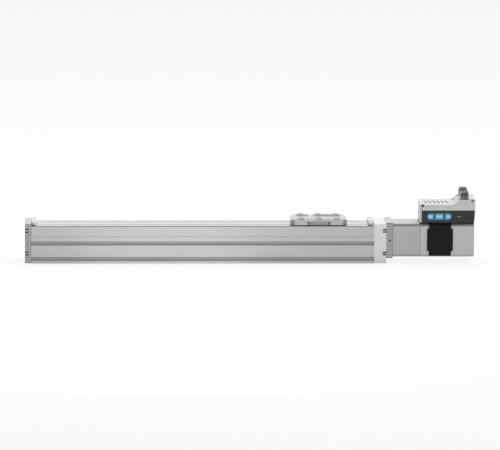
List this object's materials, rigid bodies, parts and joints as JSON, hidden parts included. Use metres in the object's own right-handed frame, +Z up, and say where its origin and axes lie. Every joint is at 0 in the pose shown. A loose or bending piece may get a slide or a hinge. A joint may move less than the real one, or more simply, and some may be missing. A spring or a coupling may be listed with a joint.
{
  "type": "ball screw linear axis",
  "caption": "Ball screw linear axis: slide on a covered aluminium profile, coupling housing, stepper motor and electronics with keys and round connectors.",
  "frame": {"origin": "middle of the profile's underside", "axes": "+X along the axis towards the motor, -Y towards the keys, +Z up through the slide"},
  "size_m": [0.5672, 0.0472, 0.0912],
  "materials": {
    "anodised_aluminium": "natural anodised, satin",
    "milled_aluminium": "fine milled and anodised",
    "light_cast_aluminium": "light blasted cast aluminium",
    "grey_cast_aluminium": "grey blasted cast aluminium",
    "motor_aluminium": "smooth grey coated aluminium",
    "strip_steel": "bright cold rolled strip",
    "ground_steel": "ground bearing steel",
    "screw_steel": "zinc plated",
    "connector_metal": "dark nickel plated",
    "black_plastic": "moulded, matt",
    "white_plastic": "moulded, matt",
    "dark_film": "printed polyester film, satin",
    "blue_key": "moulded silicone, satin",
    "light_window": "clear window",
    "black_rubber": "moulded rubber",
    "red_elastomer": "cast polyurethane",
    "laminated_iron": "stacked laminations",
    "copper_coil": "enamelled wire",
    "magnet": "sintered magnet, nickel plated",
    "green_board": "glass fibre board"
  },
  "bodies": {
    "frame": {"profile": "anodised_aluminium", "cover_strip": "strip_steel", "idle_end_cap": "grey_cast_aluminium", "drive_end_cap": "light_cast_aluminium", "cap_screws": "screw_steel", "strip_clamps": "light_cast_aluminium", "strip_clamp_screws": "screw_steel", "guide_rail": "ground_steel", "guide_rail_screws": "screw_steel", "fixed_bearing_block": "milled_aluminium", "floating_bearing_block": "milled_aluminium", "bearing_outer_rings": "ground_steel", "bearing_spacer": "ground_steel", "end_buffers": "black_rubber", "motor_flange": "grey_cast_aluminium", "coupling_housing": "motor_aluminium", "drive_screws": "screw_steel", "motor_front_cover": "motor_aluminium", "motor_tube": "motor_aluminium", "motor_rear_cover": "motor_aluminium", "stator": "laminated_iron", "stator_coils": "copper_coil", "motor_strap": "black_plastic", "electronics_housing": "grey_cast_aluminium", "housing_base": "black_plastic", "housing_pad": "black_rubber", "housing_screws": "screw_steel", "housing_plug": "black_plastic", "main_board": "green_board", "key_board": "green_board", "keypad_film": "dark_film", "status_lights": "light_window", "connector_shells": "connector_metal", "connector_inserts": "black_plastic", "connector_seals": "black_rubber"},
    "carriage": {"slide_plate": "milled_aluminium", "slide_inserts": "grey_cast_aluminium", "saddle": "milled_aluminium", "ball_nut": "ground_steel", "carriage_screws": "screw_steel", "carriage_wipers": "black_rubber", "guide_block": "ground_steel", "guide_block_ends": "white_plastic"},
    "screw": {"ball_screw": "ground_steel", "lock_nut": "screw_steel", "bearing_inner_rings": "ground_steel", "screw_hub": "milled_aluminium", "coupling_spider": "red_elastomer", "motor_hub": "milled_aluminium", "hub_screws": "screw_steel", "motor_shaft": "ground_steel", "rotor_cups": "laminated_iron", "motor_magnets": "magnet"},
    "cages": {"bearing_cages": "screw_steel", "bearing_balls": "ground_steel"},
    "left_key": {"key_left": "blue_key"},
    "middle_key": {"key_middle": "blue_key"},
    "right_key": {"key_right": "blue_key"}
  },
  "joints": [
    {"name": "slide_travel", "type": "slide", "parent": "frame", "child": "carriage", "axis": [1, 0, 0], "range_m": [-0.305, 0.005]},
    {"name": "screw_turn", "type": "hinge", "parent": "frame", "child": "screw", "pos_m": [0, 0, 0.0292], "axis": [1, 0, 0], "range_deg": [-180.1, 10980.1]},
    {"name": "cage_turn", "type": "hinge", "parent": "frame", "child": "cages", "pos_m": [0, 0, 0.0292], "axis": [1, 0, 0], "range_deg": [-67.3, 4099.3]},
    {"name": "left_key_press", "type": "slide", "parent": "frame", "child": "left_key", "axis": [0, 1, 0], "range_m": [0, 0.0004], "stiffness_N_per_m": 2500},
    {"name": "middle_key_press", "type": "slide", "parent": "frame", "child": "middle_key", "axis": [0, 1, 0], "range_m": [0, 0.0004], "stiffness_N_per_m": 2500},
    {"name": "right_key_press", "type": "slide", "parent": "frame", "child": "right_key", "axis": [0, 1, 0], "range_m": [0, 0.0004], "stiffness_N_per_m": 2500}
  ],
  "couplings": [
    {"joint": "screw_turn", "follows": "slide_travel", "rad_per_m": -628.32},
    {"joint": "cage_turn", "follows": "slide_travel", "rad_per_m": -234.57}
  ]
}
